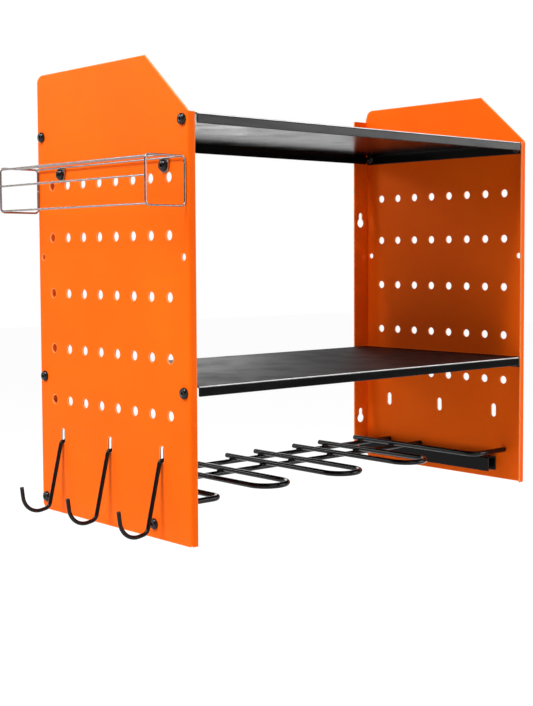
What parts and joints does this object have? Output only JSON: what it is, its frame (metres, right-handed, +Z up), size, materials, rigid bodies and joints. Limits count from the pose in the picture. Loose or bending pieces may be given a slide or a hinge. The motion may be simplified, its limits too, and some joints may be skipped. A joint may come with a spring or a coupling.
{
  "type": "wall mounted power tool organizer",
  "caption": "Wall rack of folded steel: pegboard side panels, shelves, a rod rack that holds drills by their grips, a wire side rack and swinging tool hooks.",
  "frame": {"origin": "on the wall plane, midway between the side panels, level with the panels' bottom edge", "axes": "+X to the viewer's right along the shelves, -Y out from the wall towards the viewer, +Z up"},
  "size_m": [0.4801, 0.226, 0.398],
  "materials": {
    "orange_powder_coat": "satin",
    "bright_wire_steel": "gloss",
    "black_powder_coat": "satin",
    "gloss_black_rod": "gloss",
    "black_screw_steel": "satin"
  },
  "bodies": {
    "root": {"side_panel_left": "orange_powder_coat", "side_panel_right": "orange_powder_coat", "side_rack_front_loop": "bright_wire_steel", "side_rack_rear_loop": "bright_wire_steel", "side_rack_top_rail": "bright_wire_steel", "side_rack_middle_rail": "bright_wire_steel", "side_rack_bottom_rail": "bright_wire_steel", "side_rack_inner_rail": "bright_wire_steel", "side_rack_back_rail": "bright_wire_steel", "side_rack_tab_front": "bright_wire_steel", "side_rack_tab_rear": "bright_wire_steel", "top_shelf": "black_powder_coat", "middle_shelf": "black_powder_coat", "rack_channel_left": "black_powder_coat", "rack_channel_right": "black_powder_coat", "cross_rod_rear": "gloss_black_rod", "cross_rod_front": "gloss_black_rod", "drill_finger_left": "gloss_black_rod", "drill_finger_middle": "gloss_black_rod", "drill_finger_right": "gloss_black_rod", "drill_arm_left": "gloss_black_rod", "drill_arm_right": "gloss_black_rod", "screw_top_shelf_left_rear": "black_screw_steel", "screw_top_shelf_left_front": "black_screw_steel", "screw_top_shelf_right_rear": "black_screw_steel", "screw_top_shelf_right_front": "black_screw_steel", "screw_middle_shelf_left_rear": "black_screw_steel", "screw_middle_shelf_left_front": "black_screw_steel", "screw_middle_shelf_right_rear": "black_screw_steel", "screw_middle_shelf_right_front": "black_screw_steel", "screw_channel_left_rear": "black_screw_steel", "screw_channel_left_front": "black_screw_steel", "screw_channel_right_rear": "black_screw_steel", "screw_channel_right_front": "black_screw_steel", "screw_side_rack_front": "black_screw_steel", "screw_side_rack_rear": "black_screw_steel", "nut_top_shelf_left_rear": "black_screw_steel", "nut_top_shelf_left_front": "black_screw_steel", "nut_top_shelf_right_rear": "black_screw_steel", "nut_top_shelf_right_front": "black_screw_steel", "nut_middle_shelf_left_rear": "black_screw_steel", "nut_middle_shelf_left_front": "black_screw_steel", "nut_middle_shelf_right_rear": "black_screw_steel", "nut_middle_shelf_right_front": "black_screw_steel", "nut_channel_left_rear": "black_screw_steel", "nut_channel_left_front": "black_screw_steel", "nut_channel_right_rear": "black_screw_steel", "nut_channel_right_front": "black_screw_steel", "nut_side_rack_front": "black_screw_steel", "nut_side_rack_rear": "black_screw_steel"},
    "hook_rear": {"tool_hook_rear": "gloss_black_rod"},
    "hook_middle": {"tool_hook_middle": "gloss_black_rod"},
    "hook_front": {"tool_hook_front": "gloss_black_rod"}
  },
  "joints": [
    {"name": "hook_rear_swing", "type": "hinge", "parent": "root", "child": "hook_rear", "pos_m": [-0.2145, -0.037, 0.06415], "axis": [0, 1, 0], "range_deg": [0, 60]},
    {"name": "hook_middle_swing", "type": "hinge", "parent": "root", "child": "hook_middle", "pos_m": [-0.2145, -0.112, 0.06415], "axis": [0, 1, 0], "range_deg": [0, 60]},
    {"name": "hook_front_swing", "type": "hinge", "parent": "root", "child": "hook_front", "pos_m": [-0.2145, -0.187, 0.06415], "axis": [0, 1, 0], "range_deg": [0, 60]}
  ]
}
